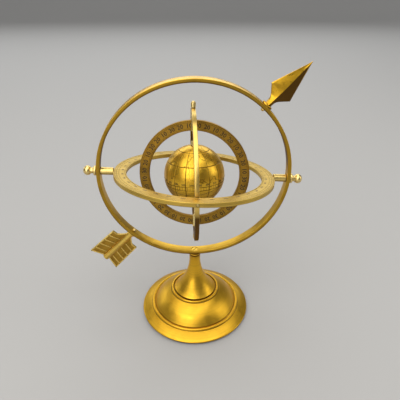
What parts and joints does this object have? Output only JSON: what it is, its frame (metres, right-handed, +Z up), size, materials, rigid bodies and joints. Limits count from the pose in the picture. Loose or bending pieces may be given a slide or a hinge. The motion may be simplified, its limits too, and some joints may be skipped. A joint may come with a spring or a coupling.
{
  "type": "armillary sphere",
  "caption": "Table armillary sphere: nested rings in gimbals round an engraved globe, on a turned flared foot, with an arrow across the fixed outer ring.",
  "frame": {"origin": "centre of the foot's flat underside", "axes": "+Z up, -Y towards the front, +X to the right of someone looking at the front; the outer ring lies in the XZ plane"},
  "size_m": [0.2319, 0.1638, 0.2964],
  "materials": {
    "antique_brass": "lacquered antique brass, turned and brushed, darker in the corners",
    "pale_brass": "pale satin brass with engraved lines",
    "engraved_brass": "antique brass, engraved and dark in the lines",
    "polished_brass": "polished brass",
    "plated_steel": "zinc plated",
    "felt": "dark green felt"
  },
  "bodies": {
    "stand": {"felt_pad": "felt", "base_foot": "antique_brass", "base_stem": "antique_brass", "base_washer": "plated_steel", "base_bolt": "plated_steel", "outer_ring": "antique_brass", "ring_screw": "polished_brass", "arrowhead": "antique_brass", "arrowhead_screw": "polished_brass", "arrow_fletching": "antique_brass", "fletching_screw": "polished_brass"},
    "horizon": {"horizon_ring": "pale_brass", "pivot_rod_left": "antique_brass", "pivot_rod_right": "antique_brass", "pivot_finial_left": "polished_brass", "pivot_finial_right": "polished_brass", "meridian_pivot_front": "polished_brass", "meridian_pivot_back": "polished_brass"},
    "meridian": {"meridian_ring": "antique_brass", "polar_pin": "polished_brass", "polar_nut_top": "polished_brass", "polar_nut_bottom": "polished_brass", "globe_collar_top": "polished_brass", "globe_collar_bottom": "polished_brass"},
    "zodiac": {"zodiac_ring": "engraved_brass"},
    "globe": {"globe_north": "engraved_brass", "globe_south": "engraved_brass", "globe_bush_top": "polished_brass", "globe_bush_bottom": "polished_brass"}
  },
  "joints": [
    {"name": "horizon_turn", "type": "hinge", "parent": "stand", "child": "horizon", "pos_m": [0, 0, 0.183], "axis": [0.998, 0, -0.0628], "continuous": true},
    {"name": "meridian_swing", "type": "hinge", "parent": "horizon", "child": "meridian", "pos_m": [0, 0, 0.183], "axis": [-0.0092, 0.9893, -0.1458], "range_deg": [-81, 89]},
    {"name": "zodiac_turn", "type": "hinge", "parent": "meridian", "child": "zodiac", "pos_m": [0, 0, 0.183], "axis": [-0.0059, 0.1457, 0.9893], "continuous": true},
    {"name": "globe_turn", "type": "hinge", "parent": "meridian", "child": "globe", "pos_m": [0, 0, 0.183], "axis": [-0.0059, 0.1457, 0.9893], "continuous": true}
  ]
}
